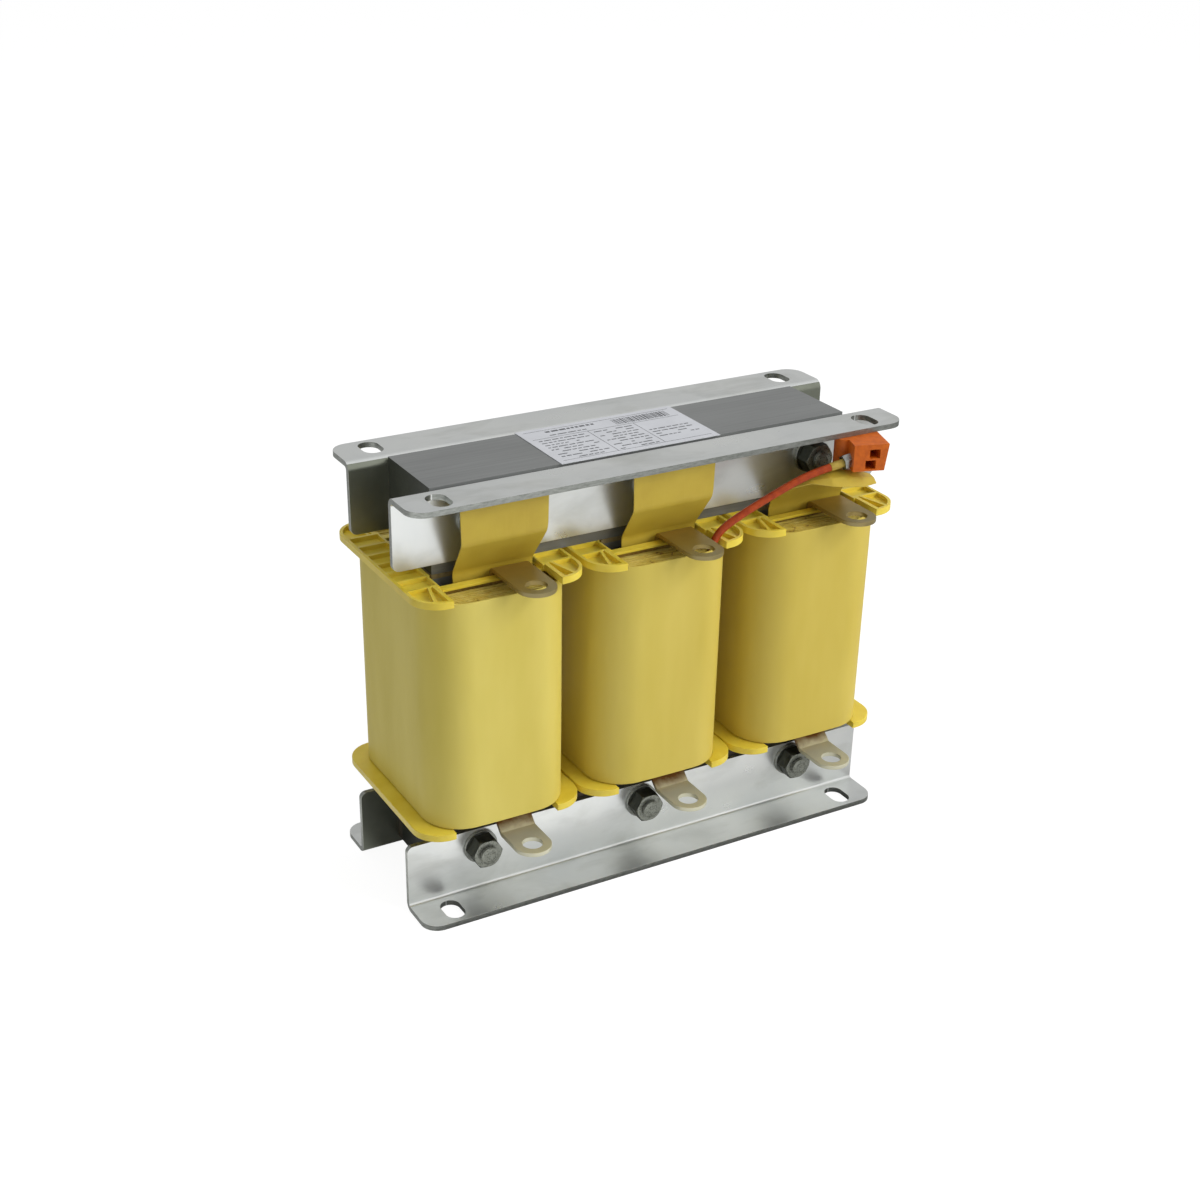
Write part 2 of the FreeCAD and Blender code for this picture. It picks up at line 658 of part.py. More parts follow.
def round_tip(bar, reach, width, level):
    """The free end of a bar along -Y, rounded to a half circle."""
    radius = width / 2
    keep_box = Part.makeBox(width, 200, 80, V(-radius, -reach + radius, level - 40))
    tip = Part.makeCylinder(radius, 80, V(0, -reach + radius, level - 40))
    return bar.common(keep_box.fuse(tip))


def make_terminal(label, side, upper):
    thickness, width = cell("terminal_thickness"), cell("terminal_width")
    leg_y = -(bore_half_depth - thickness / 2)
    if upper:
        level = cell("upper_flag_level") - thickness / 2
        reach = cell("terminal_reach")
        route = [(leg_y, level - cell("terminal_leg")), (leg_y, level), (-reach, level)]
    else:
        level = cell("lower_flag_level") - thickness / 2
        exit_level = cell("lower_exit_level") - thickness / 2
        reach = cell("lower_reach")
        route = [(leg_y, exit_level + cell("terminal_leg")), (leg_y, exit_level),
                 (-cell("joggle_start"), exit_level), (-cell("joggle_end"), level), (-reach, level)]
    inner_radius = min(cell("terminal_bend"), 1.0) if not upper else cell("terminal_bend")
    bar = bent_strip(route, thickness, inner_radius, width)
    bar = round_tip(bar, reach, width, level)
    hole_y = -reach + width / 2
    bar = bar.cut(Part.makeCylinder(cell("terminal_hole") / 2, 4 * thickness, V(0, hole_y, level - 2 * thickness)))
    item = doc.addObject("Part::Feature", label)
    item.Shape = bar
    keep(item, label)
    place(item, x=f"{side} * Sizes.limb_pitch + Sizes.terminal_offset")


# Insulation sheets that stand between the upper terminals and the web
def sheet_foot():
    """Middle of a sheet's thickness where it rests on the back of the terminal's leg."""
    return -(bore_half_depth - cell("terminal_thickness")) + cell("sheet_thickness") / 2


def make_sheet_upright(name, side):
    gauge = cell("sheet_thickness")
    low = window_top - cell("sheet_tuck")
    high = flange_underside - cell("sheet_gap")
    foot_y = sheet_foot()
    lean_y = -cell("sheet_lean")
    route = [(foot_y, low), (foot_y, window_top + 1.5), (lean_y, window_top + 17.5), (lean_y - 0.6, high)]
    strip = bent_strip(route, gauge, 6.0, cell("sheet_width") + 4)
    half_top, half_foot = cell("sheet_width") / 2, cell("sheet_foot_width") / 2
    corners = [V(-half_foot, -100, low), V(half_foot, -100, low), V(half_foot + 0.5, -100, window_top + 4),
               V(half_top, -100, high - 12), V(half_top, -100, high + 1), V(-half_top, -100, high + 1),
               V(-half_foot, -100, low)]
    outline = Part.Face(Part.makePolygon(corners)).extrude(V(0, 200, 0))
    item = doc.addObject("Part::Feature", "insulation_sheet_" + name)
    item.Shape = strip.common(outline)
    keep(item, "insulation_sheet_" + name)
    place(item, x=f"{side} * Sizes.limb_pitch + Sizes.sheet_offset")


def thin_section(x, route, gauge):
    """Closed outline of a thin sheet cut at one x, with its thickness set out across the route."""
    points = [V(x, y, z) for y, z in route]
    front, back = [], []
    for i, point in enumerate(points):
        before = points[max(i - 1, 0)]
        after = points[min(i + 1, len(points) - 1)]
        heading = (after - before).normalize()
        across = V(0, -heading.z, heading.y) * (gauge / 2)
        front.append(point + across)
        back.append(point - across)
    loop = front + back[::-1]
    return Part.makePolygon(loop + [loop[0]])


def bezier(controls, steps):
    points = []
    for i in range(1, steps + 1):
        t = i / steps
        weights = ((1 - t) ** 3, 3 * t * (1 - t) ** 2, 3 * t ** 2 * (1 - t), t ** 3)
        points.append((sum(w * c[0] for w, c in zip(weights, controls)),
                       sum(w * c[1] for w, c in zip(weights, controls))))
    return points


def make_sheet_bent():
    """The right-hand sheet is pushed forward over its terminal, and its free end curls down."""
    gauge = cell("sheet_thickness")
    low = window_top - cell("sheet_tuck")
    foot_y = sheet_foot()
    sections = []
    for x, crest_y, crest_z, lip_y, lip_z in BENT_SHEET:
        start = (foot_y, window_top + 0.6)
        controls = (start, (foot_y - 1.0, window_top + 9.0), (crest_y, crest_z), (lip_y, lip_z))
        route = [(foot_y, low), start] + bezier(controls, 10)
        sections.append(thin_section(x, route, gauge))
    item = doc.addObject("Part::Feature", "insulation_sheet_right")
    item.Shape = Part.makeLoft(sections, True, True)
    keep(item, "insulation_sheet_right")


# Two-pole terminal block under the front flange, with its lead from the middle coil
def block_placement():
    spot = V(cell("block_corner_x"), -cell("block_corner_y"), flange_underside - cell("block_height"))
    return FreeCAD.Placement(spot, FreeCAD.Rotation(V(0, 0, 1), -cell("block_turn")))


def entry_point():
    """Where the sleeve goes into the block's left face."""
    return block_placement().multVec(V(0, cell("entry_inset"), cell("entry_level")))


def entry_heading():
    return (entry_point() - V(*LEAD_ROUTE[-1])).normalize()


def make_block():
    width, depth, height = cell("block_width"), cell("block_depth"), cell("block_height")
    port, pitch = cell("block_port"), cell("block_pole_pitch")
    foot = width - cell("block_slant")
    front = Part.makePolygon([V(0, 0, 0), V(foot, 0, 0), V(width, 0, height), V(0, 0, height), V(0, 0, 0)])
    housing = Part.Face(front).extrude(V(0, depth, 0))
    lug, lug_y, lug_radius = cell("block_lug"), cell("block_lug_depth"), cell("block_lug_radius")
    ear = Part.makeBox(lug, 2 * lug_radius, height, V(-lug, lug_y - lug_radius, 0))
    ear = ear.fuse(Part.makeCylinder(lug_radius, height, V(-lug, lug_y, 0)))
    housing = housing.fuse(ear).removeSplitter()
    # The lower port stands further left than the upper one
    port_height = 0.85 * port
    middle_level = height / 2 - cell("block_port_drop")
    for rise, step in ((-pitch / 2, cell("block_port_step")), (pitch / 2, 0)):
        left = cell("block_port_inset") - step - port / 2
        corner = V(left, 0, middle_level + rise - port_height / 2)
        housing = housing.cut(Part.makeBox(port, cell("block_port_depth"), port_height, corner))
    housing.Placement = block_placement()
    heading, entry = entry_heading(), entry_point()
    length = cell("collar_length")
    inside = entry + heading * cell("entry_depth")
    flat = cell("collar_width") / 2
    rim = Part.makeCylinder(2 * flat / math.sqrt(3), length + cell("entry_depth"), inside, heading * -1)
    sleeve = Part.makeCylinder(cell("sleeve_diameter") / 2, 60, inside, heading * -1)
    across = heading.cross(V(0, 0, 1)).normalize()
    upwards = across.cross(heading)
    for turn in range(6):
        outward = across * math.cos(turn * math.pi / 3) + upwards * math.sin(turn * math.pi / 3)
        slab = Part.makeBox(20, 20, 20, V(-10, -10, flat))
        slab.Placement = FreeCAD.Placement(entry, FreeCAD.Rotation(V(0, 0, 1), outward))
        rim = rim.cut(slab)
    housing = housing.cut(rim)
    item = doc.addObject("Part::Feature", "terminal_block")
    item.Shape = housing
    keep(item, "terminal_block")
    collar = doc.addObject("Part::Feature", "cable_collar")
    collar.Shape = rim.cut(sleeve)
    keep(collar, "cable_collar")


def rounded_path(points):
    """Straight runs joined by arcs as large as the two runs allow."""
    edges, radii = [], []
    last = points[0]
    for before, corner, after in zip(points, points[1:], points[2:]):
        arriving, leaving = corner - before, after - corner
        shorter = min(arriving.Length, leaving.Length)
        arriving.normalize()
        leaving.normalize()
        turn = arriving.getAngle(leaving)
        trim = 0.45 * shorter
        radius = trim / math.tan(turn / 2)
        radii.append(radius)
        start, end = corner - arriving * trim, corner + leaving * trim
        inward = (leaving - arriving).normalize()
        centre = corner + inward * (radius / math.cos(turn / 2))
        crown = centre - inward * radius
        edges.append(Part.LineSegment(last, start).toShape())
        edges.append(Part.Arc(start, crown, end).toShape())
        last = end
    edges.append(Part.LineSegment(last, points[-1]).toShape())
    return Part.Wire(edges), radii


def make_lead():
    points = [V(*spot) for spot in LEAD_ROUTE]
    points.append(points[-1] + (entry_point() - points[-1]) * cell("lead_share"))
    path, radii = rounded_path(points)
    radius = cell("lead_diameter") / 2
    ring = Part.Wire(Part.makeCircle(radius, points[0], points[1] - points[0]))
    tube = path.makePipeShell([ring], True, False)
    section = math.pi * radius ** 2
    print("lead length %.1f, volume ratio %.4f" % (path.Length, tube.Volume / (section * path.Length)))
    print("lead bend radii", [round(value, 1) for value in radii])
    lead = doc.addObject("Part::Feature", "sensor_lead")
    lead.Shape = tube
    keep(lead, "sensor_lead")
    run = entry_point() + entry_heading() * cell("entry_depth") - points[-1]
    sleeve = doc.addObject("Part::Feature", "lead_sleeve")
    sleeve.Shape = Part.makeCylinder(cell("sleeve_diameter") / 2, run.Length, points[-1], run)
    keep(sleeve, "lead_sleeve")


def make_label():
    body = new_body("rating_label")
    half_x, half_y = "Sizes.label_length / 2", "Sizes.label_depth / 2"
    outline = new_sketch(body, "XY_Plane")
    add_rectangle(outline, "-" + half_x, half_x, "-" + half_y, half_y)
    pad(body, outline, "Sizes.label_thickness")
    place(body, x="-Sizes.label_offset", z="Sizes.overall_height")


def centre_on_origin():
    """Moves every piece so that the front and rear reach are equal."""
    offset = "(Sizes.terminal_reach - Sizes.frame_half_depth) / 2"
    for item in parts:
        formulas = {path.strip("."): text for path, text in item.ExpressionEngine}
        start = formulas.get("Placement.Base.y", str(item.Placement.Base.y))
        item.setExpression("Placement.Base.y", f"({start}) + {offset}")


def check_and_export():
    doc.recompute()
    for item in doc.Objects:
        bad = [state for state in item.State if state in ("Invalid", "Error")]
        if bad:
            raise RuntimeError(f"{item.Label} failed: {bad}")
    os.makedirs("parts", exist_ok=True)
    for item in parts:
        shape = item.Shape
        if shape.isNull() or not shape.isValid() or not shape.Solids:
            raise RuntimeError("no valid solid in " + item.Label)
        shape.exportStep(f"parts/{item.Label}.step")


make_yoke("upper_yoke", WINDOW_TOP, "Sizes.yoke_height - Sizes.upper_bolt_drop", "0")
make_yoke("lower_yoke", CORE_BOTTOM, f"Sizes.lower_bolt_rise - {CORE_BOTTOM}", "Sizes.lower_bolt_shift")
for limb_name, limb_side in LIMBS:
    make_limb(limb_name, limb_side)
    make_gap_pad(limb_name, limb_side, "lower", WINDOW_BOTTOM)
    make_gap_pad(limb_name, limb_side, "upper", f"{WINDOW_TOP} - Sizes.gap_pad_thickness")
    make_tube(limb_name, limb_side)
    make_winding(limb_name, limb_side)
    make_wrap(limb_name, limb_side)
    make_end_frame("upper_end_frame_" + limb_name, limb_side, True)
    make_end_frame("lower_end_frame_" + limb_name, limb_side, False)
    make_terminal("upper_terminal_" + limb_name, limb_side, True)
    make_terminal("lower_terminal_" + limb_name, limb_side, False)
make_sheet_upright("left", -1)
make_sheet_upright("centre", 0)
make_sheet_bent()
UP, ALONG = V(0, 0, 1), V(1, 0, 0)
DROP, RISE, SHIFT = "Sizes.upper_bolt_drop", "Sizes.lower_bolt_rise", "Sizes.lower_bolt_shift"
make_bracket("upper_front_angle", DROP, "0", UP, 0, "-" + STACK_FACE, "Sizes.overall_height")
make_bracket("upper_rear_angle", DROP, "0", UP, 180, STACK_FACE, "Sizes.overall_height")
make_bracket("lower_front_angle", RISE, f"-1 * {SHIFT}", V(0, 1, 0), 180, "-" + LOWER_WEB_FACE, "0")
make_bracket("lower_rear_angle", RISE, SHIFT, ALONG, 180, LOWER_WEB_FACE, "0")
make_spacer("front_spacer_strip", -1)
make_spacer("rear_spacer_strip", 1)
make_fasteners()
make_block()
make_lead()
make_label()
centre_on_origin()
check_and_export()
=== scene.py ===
import json
import math
import random

import bmesh
import bpy
from mathutils import Matrix, Vector, noise


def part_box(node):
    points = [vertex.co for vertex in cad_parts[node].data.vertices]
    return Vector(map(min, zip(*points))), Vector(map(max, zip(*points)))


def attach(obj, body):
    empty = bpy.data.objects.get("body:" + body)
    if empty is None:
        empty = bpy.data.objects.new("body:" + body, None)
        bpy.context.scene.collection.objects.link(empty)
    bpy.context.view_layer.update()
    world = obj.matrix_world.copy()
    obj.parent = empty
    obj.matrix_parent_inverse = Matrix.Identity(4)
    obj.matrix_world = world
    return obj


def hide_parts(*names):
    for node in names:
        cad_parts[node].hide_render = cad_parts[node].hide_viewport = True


# Lengths are in millimetres, and this turns them into metres
MM = 0.001
X, Y, Z = 0, 1, 2

# The core's middle plane lies this far behind the row's origin
CORE_Y = 6.5

# The middle of each coil along the core
COIL_PITCH = 80.0
COILS = {"left": -COIL_PITCH, "centre": 0.0, "right": COIL_PITCH}

# The lead's route from the middle coil to the block, measured from the core's middle plane
LEAD_ROUTE = [
    (20.6, -41.6, 149.4),
    (21.5, -41.9, 155.2),
    (25.2, -42.7, 160.3),
    (31.4, -43.4, 164.0),
    (40.0, -43.8, 167.9),
    (49.0, -44.3, 171.6),
    (58.0, -45.2, 175.5),
    (67.2, -46.4, 179.0),
    (76.45, -47.68, 180.95),
]
LEAD_DIAMETER = 3.4

# Through bolts: their pitch, and each row's shift along the core, its level and the face of its nuts
BOLT_PITCH = 83.0
UPPER_BOLTS = (0.0, 178.0, -31.6)
LOWER_BOLTS = (-2.0, 23.9, -35.6)

# How far edges are eased, by words that stand in a node's name
EASED_EDGES = {
    "angle": 0.35,
    "end_frame": 0.3,
    "upper_terminal": 0.3,
    "lower_terminal": 0.3,
    "terminal_block": 0.35,
    "yoke": 0.15,
    "coil_tube": 0.2,
    "insulation_sheet": 0.1,
    "spacer": 0.2,
    "hex_nuts": 0.3,
    "plain_washers": 0.25,
    "through_bolts": 0.3,
    "cable_collar": 0.25,
    "lead_sleeve": 0.3,
}
EASING_STEPS = 2
SHARP = math.radians(35)
NEARLY_FLAT = math.radians(0.5)
SAME_PLACE = 1e-6

# A noise texture stays mostly between these two values
NOISE_LOW = 0.3
NOISE_HIGH = 0.7
UNSTRETCHED = (1, 1, 1)
WHITE = (255, 255, 255)

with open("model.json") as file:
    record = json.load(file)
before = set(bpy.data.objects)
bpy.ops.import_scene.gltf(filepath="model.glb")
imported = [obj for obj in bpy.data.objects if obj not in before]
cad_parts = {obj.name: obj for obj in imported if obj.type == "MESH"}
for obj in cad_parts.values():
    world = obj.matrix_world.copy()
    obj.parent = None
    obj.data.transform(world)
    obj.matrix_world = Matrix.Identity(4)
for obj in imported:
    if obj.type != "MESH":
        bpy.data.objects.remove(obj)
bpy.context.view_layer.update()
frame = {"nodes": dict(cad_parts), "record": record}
nodes = frame["nodes"]
SLOT_OF = {entry["node"]: entry["material_slot"] for entry in frame["record"]["subparts"]}


def in_row(x, y, z):
    """A place measured from the core's middle plane, as a point of the row in metres."""
    return x * MM, (y + CORE_Y) * MM, z * MM


def box_of(name):
    """The low and the high corner of a node, measured from the core's middle plane."""
    low, high = ([value / MM for value in corner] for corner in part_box(name))
    low[Y] -= CORE_Y
    high[Y] -= CORE_Y
    return low, high


def linear(red, green, blue):
    """A colour seen on screen, 0 to 255 a channel, as the shader wants it."""
    out = []
    for value in (red, green, blue):
        share = value / 255
        out.append(share / 12.92 if share <= 0.04045 else ((share + 0.055) / 1.055) ** 2.4)
    return (*out, 1.0)


class Nodes:
    """Short ways to add nodes to a tree and wire them."""

    def __init__(self, tree):
        self.tree = tree

    def new(self, kind, **settings):
        node = self.tree.nodes.new(kind)
        for key, value in settings.items():
            setattr(node, key, value)
        return node

    def feed(self, socket, value):
        """Wires another node's output to a socket, or gives the socket a plain value."""
        if isinstance(value, bpy.types.NodeSocket):
            self.tree.links.new(value, socket)
        else:
            socket.default_value = value

    def maths(self, operation, *values):
        node = self.new("ShaderNodeMath", operation=operation)
        for socket, value in zip(node.inputs, values):
            self.feed(socket, value)
        return node.outputs[0]

    def part(self, vector, axis):
        """One coordinate of a vector."""
        node = self.new("ShaderNodeSeparateXYZ")
        self.feed(node.inputs[0], vector)
        return node.outputs[axis]

    def span(self, factor, low, high, out_low=0.0, out_high=1.0):
        """Lays the run from low to high over the run from out_low to out_high, and stays inside it."""
        node = self.new("ShaderNodeMapRange")
        for socket, value in zip(node.inputs, (factor, low, high, out_low, out_high)):
            self.feed(socket, value)
        return node.outputs[0]

    def choose(self, factor, first, second):
        """The first number where the factor is 0 and the second where it is 1."""
        node = self.new("ShaderNodeMix", data_type="FLOAT")
        for index, value in ((0, factor), (2, first), (3, second)):
            self.feed(node.inputs[index], value)
        return node.outputs[0]

    def rays(self, *kinds):
        """1 for rays of the given kinds and 0 for the others."""
        outputs = self.new("ShaderNodeLightPath").outputs
        found = outputs[kinds[0]]
        for kind in kinds[1:]:
            found = self.maths("MAXIMUM", found, outputs[kind])
        return found


class Shader(Nodes):
    """A material with a principled shader, and textures laid out in millimetres."""

    def __init__(self, name, color, roughness, metallic=0.0):
        self.material = bpy.data.materials.new(name)
        self.material.use_nodes = True
        super().__init__(self.material.node_tree)
        self.shader = self.tree.nodes["Principled BSDF"]
        self.set("Base Color", linear(*color))
        self.set("Roughness", roughness)
        self.set("Metallic", metallic)

    def set(self, name, value):
        self.feed(self.shader.inputs[name], value)

    def glow_within(self, weight, red, green, blue):
        """Light that goes in and comes out again, with its reach in millimetres for each channel."""
        self.set("Subsurface Weight", weight)
        self.set("Subsurface Radius", (red * MM, green * MM, blue * MM))

    def place(self, stretch=UNSTRETCHED):
        """Object coordinates in millimetres, multiplied along each axis."""
        spot = self.new("ShaderNodeTexCoord")
        scale = self.new("ShaderNodeVectorMath", operation="MULTIPLY")
        self.feed(scale.inputs[0], spot.outputs["Object"])
        self.feed(scale.inputs[1], [value / MM for value in stretch])
        return scale.outputs[0]

    def noise(self, per_mm, detail=3.0, rough=0.5, stretch=UNSTRETCHED, distortion=0.0):
        node = self.new("ShaderNodeTexNoise")
        self.feed(node.inputs["Vector"], self.place(stretch))
        self.feed(node.inputs["Scale"], per_mm)
        self.feed(node.inputs["Detail"], detail)
        self.feed(node.inputs["Roughness"], rough)
        self.feed(node.inputs["Distortion"], distortion)
        return node.outputs["Fac"]

    def pits(self, per_mm):
        """The distance to the nearest of many scattered points."""
        node = self.new("ShaderNodeTexVoronoi")
        self.feed(node.inputs["Vector"], self.place())
        self.feed(node.inputs["Scale"], per_mm)
        return node.outputs["Distance"]

    def facing(self, axis, low=0.6, high=0.85):
        """1 where the surface faces along an axis of the row, either way, and 0 elsewhere."""
        spot = self.new("ShaderNodeTexCoord")
        size = self.maths("ABSOLUTE", self.part(spot.outputs["Normal"], axis))
        return self.span(size, low, high)

    def along(self, axis, start, end):
        """0 at one place along an axis and 1 at the other."""
        return self.span(self.part(self.place(), axis), start, end)

    def ramp(self, factor, *stops):
        node = self.new("ShaderNodeValToRGB")
        band = node.color_ramp
        while len(band.elements) < len(stops):
            band.elements.new(0.5)
        for element, (position, color) in zip(band.elements, stops):
            element.position = position
            element.color = linear(*color)
        self.feed(node.inputs[0], factor)
        return node.outputs[0]

    def tones(self, texture, dark, light):
        """Runs from a dark colour to a light one over a noise texture."""
        return self.ramp(texture, (NOISE_LOW, dark), (NOISE_HIGH, light))

    def blend(self, factor, first, second, how="MIX"):
        node = self.new("ShaderNodeMix", data_type="RGBA", blend_type=how)
        for index, value in ((0, factor), (6, first), (7, second)):
            self.feed(node.inputs[index], value)
        return node.outputs[2]

    def vary(self, name, texture, at_low, at_high):
        """Lets a noise texture move one of the shader's numbers."""
        self.set(name, self.span(texture, NOISE_LOW, NOISE_HIGH, at_low, at_high))

    def bump(self, height, strength, distance, after=None):
        node = self.new("ShaderNodeBump")
        self.feed(node.inputs["Strength"], strength)
        self.feed(node.inputs["Distance"], distance * MM)
        self.feed(node.inputs["Height"], height)
        if after is not None:
            self.feed(node.inputs["Normal"], after)
        self.set("Normal", node.outputs[0])
        return node.outputs[0]


def make_core_steel():
    """Edges of stacked sheets: smooth grey with faint lines along the core, and far darker on the faces at
    its ends.
    """
    s = Shader("core_steel", (132, 134, 133), 0.4, 0.35)
    mottle = s.noise(0.05, detail=4, rough=0.6, stretch=(0.25, 1, 1))
    lines = s.noise(1.1, rough=0.7, stretch=(0.012, 1, 1))
    tone = s.tones(mottle, dark=(120, 122, 121), light=(138, 140, 139))
    seams = s.ramp(lines, (0.35, (240, 240, 240)), (0.6, WHITE))
    top = s.blend(1.0, tone, seams, "MULTIPLY")
    end = s.tones(lines, dark=(30, 33, 27), light=(50, 53, 45))
    s.set("Base Color", s.blend(s.facing(X), top, end))
    s.vary("Roughness", mottle, 0.34, 0.48)
    s.bump(lines, strength=0.06, distance=0.03)
    return s.material


def make_galvanised():
    """Bright zinc, satin, with soft clouds, faint rolling streaks and a few dull smudges."""
    s = Shader("galvanised_steel", (222, 225, 222), 0.3, 0.84)
    s.set("Specular IOR Level", 0.3)
    mottle = s.noise(0.03, detail=4, rough=0.55)
    streak = s.noise(0.7, rough=0.6, stretch=(0.02, 1, 1))
    smudge = s.noise(0.06, detail=4, rough=0.55, stretch=(0.5, 1, 1), distortion=0.4)
    tone = s.tones(mottle, dark=(214, 217, 216), light=(226, 228, 225))
    stain = s.ramp(smudge, (NOISE_LOW, (236, 236, 234)), (0.5, WHITE))
    s.set("Base Color", s.blend(1.0, tone, stain, "MULTIPLY"))
    s.vary("Roughness", smudge, 0.34, 0.27)
    s.bump(streak, strength=0.03, distance=0.04)
    return s.material


def make_cut_edge():
    """Sheared edges of the steel sheet: duller and darker than its faces."""
    s = Shader("galvanised_edge", (124, 127, 123), 0.42, 0.9)
    grain = s.noise(1.4, rough=0.6, stretch=(0.3, 0.3, 1))
    s.set("Base Color", s.tones(grain, dark=(128, 131, 126), light=(160, 163, 158)))
    s.bump(grain, strength=0.15, distance=0.05)
    return s.material


def make_painted_shade_zinc():
    """Inside faces of the rear angles: duller zinc, darkened by painted shade and a painted reflection of
    the dark space round the core.
    """
    s = Shader("galvanised_inside_painted_shade", (138, 142, 129), 0.34, 0.9)
    cloud = s.noise(0.06, detail=4, rough=0.55)
    streak = s.noise(0.7, rough=0.6, stretch=(0.02, 1, 1))
    s.set("Base Color", s.tones(cloud, dark=(130, 134, 121), light=(144, 148, 135)))
    s.bump(streak, strength=0.03, distance=0.04)
    return s.material


def make_wrap():
    """Yellow wrap, smooth and slightly shiny, with faint upright waves, and painted shade that darkens it
    from the left coil towards the right.
    """
    s = Shader("wrap_film", (212, 195, 96), 0.46)
    s.set("Specular IOR Level", 0.12)
    s.glow_within(0.05, red=3.0, green=2.0, blue=0.6)
    cloud = s.noise(0.05, stretch=(1, 1, 0.25))
    grain = s.noise(1.6, detail=4, rough=0.6, stretch=(1, 1, 0.25))
    pale = s.tones(cloud, dark=(214, 197, 97), light=(224, 208, 112))
    # Painted shade: a darker copy of the tone takes over from the left coil towards the right, where less
    # light falls
    deep = s.blend(1.0, pale, linear(238, 231, 212), "MULTIPLY")
    s.set("Base Color", s.blend(s.along(X, -90, 30), pale, deep))
    s.vary("Roughness", grain, 0.36, 0.48)
    wave = s.bump(cloud, strength=0.2, distance=0.8)
    s.bump(grain, strength=0.04, distance=0.05, after=wave)
    return s.material


def make_winding():
    """Foil turns and varnish, seen between the edges of the insulation: brown with dark gaps."""
    s = Shader("winding_foil", (112, 78, 34), 0.5, 0.35)
    cloud = s.noise(0.25, detail=4, rough=0.6)
    fine = s.noise(2.2, rough=0.6, stretch=(0.3, 1, 1))
    tone = s.tones(cloud, dark=(84, 54, 22), light=(136, 100, 44))
    gaps = s.ramp(fine, (NOISE_LOW, (150, 140, 130)), (0.6, WHITE))
    s.set("Base Color", s.blend(1.0, tone, gaps, "MULTIPLY"))
    s.bump(fine, strength=0.3, distance=0.15)
    return s.material


def make_turn_edges():
    """Edges of the insulating turns: pale yellow, stained brown in places."""
    s = Shader("turn_edges", (184, 158, 66), 0.5)
    s.glow_within(0.1, red=2.0, green=1.4, blue=0.5)
    stain = s.noise(0.16, detail=5, rough=0.65, stretch=(1, 1, 0.3), distortion=0.4)
    grain = s.noise(2.4, rough=0.6)
    brown, yellow, pale = (156, 120, 54), (214, 190, 86), (234, 216, 122)
    s.set("Base Color", s.ramp(stain, (NOISE_LOW, brown), (0.38, yellow), (0.66, pale)))
    s.vary("Roughness", grain, 0.42, 0.6)
    s.bump(grain, strength=0.15, distance=0.08)
    return s.material


def make_moulded():
    """Glossy yellow moulded plastic with a soft flow texture."""
    s = Shader("moulded_yellow", (222, 197, 60), 0.34)
    s.set("Specular IOR Level", 0.4)
    s.glow_within(0.15, red=3.0, green=2.0, blue=0.5)
    cloud = s.noise(0.12)
    s.set("Base Color", s.tones(cloud, dark=(224, 199, 60), light=(234, 212, 82)))
    s.vary("Roughness", cloud, 0.28, 0.4)
    s.bump(s.noise(1.2), strength=0.05, distance=0.05)
    return s.material


def make_sheet():
    """Smooth insulating sheet, a little darker than the wrap, with creases where it was bent by hand."""
    s = Shader("sheet_yellow", (182, 158, 62), 0.5)
    s.glow_within(0.08, red=3.0, green=2.0, blue=0.5)
    cloud = s.noise(0.07)
    crease = s.noise(0.2, detail=2, stretch=(1.0, 0.4, 0.25), distortion=1.2)
    s.set("Base Color", s.tones(cloud, dark=(184, 158, 50), light=(195, 171, 62)))
    s.vary("Roughness", cloud, 0.44, 0.56)
    s.bump(crease, strength=0.12, distance=0.6)
    return s.material


def make_bar(name, near, far, tip, stain_and_shade_from_y, stain_and_shade_to_y, metallic):
    """Tinned copper bar, brown where it leaves the coil, partly varnish stain and partly painted shade and a
    painted reflection of the yellow coil and sheets, with fine scratches along it.
    """
    s = Shader(name, far, 0.4, metallic)
    cloud = s.noise(0.12, detail=4, rough=0.6)
    scratch = s.noise(2.6, detail=2, rough=0.6, stretch=(1, 0.06, 1))
    # The brown near colour is partly varnish stain and partly painted shade and painted reflection, and
    # fades out along the bar with a ragged edge
    ragged = s.span(cloud, NOISE_LOW, NOISE_HIGH, -0.14, 0.14)
    reach = s.maths("ADD", s.along(Y, stain_and_shade_from_y, stain_and_shade_to_y), ragged)
    s.set("Base Color", s.ramp(reach, (0.0, near), (0.4, far), (1.0, tip)))
    s.vary("Roughness", cloud, 0.34, 0.46)
    s.bump(scratch, strength=0.08, distance=0.04)
    return s.material


def make_metal(name, light, dark, smooth, rough):
    """Plated small parts, mottled a little."""
    s = Shader(name, light, rough, 1.0)
    cloud = s.noise(0.6, detail=4, rough=0.6)
    s.set("Base Color", s.tones(cloud, dark, light))
    s.vary("Roughness", cloud, smooth, rough)
    s.bump(s.noise(3.0, rough=0.6), strength=0.12, distance=0.05)
    return s.material


def make_fastener():
    """Dark sides and a worn grey face, pitted by the spanner and the plating."""
    s = Shader("fastener_steel", (60, 62, 56), 0.4, 0.75)
    cloud = s.noise(0.5, detail=4, rough=0.6)
    pits = s.pits(1.1)
    side = s.tones(cloud, dark=(46, 48, 42), light=(72, 75, 66))
    face = s.ramp(pits, (0.1, (84, 87, 78)), (0.5, (136, 139, 130)))
    s.set("Base Color", s.blend(s.facing(Y), side, face))
    s.vary("Roughness", cloud, 0.34, 0.55)
    s.bump(pits, strength=0.25, distance=0.12)
    return s.material


def make_plastic(name, light, dark, roughness):
    """Coloured plastic with a fine grain."""
    s = Shader(name, light, roughness)
    s.set("Specular IOR Level", 0.3)
    s.set("Base Color", s.tones(s.noise(0.4, detail=4), dark, light))
    s.bump(s.noise(4.0, detail=2), strength=0.08, distance=0.03)
    return s.material


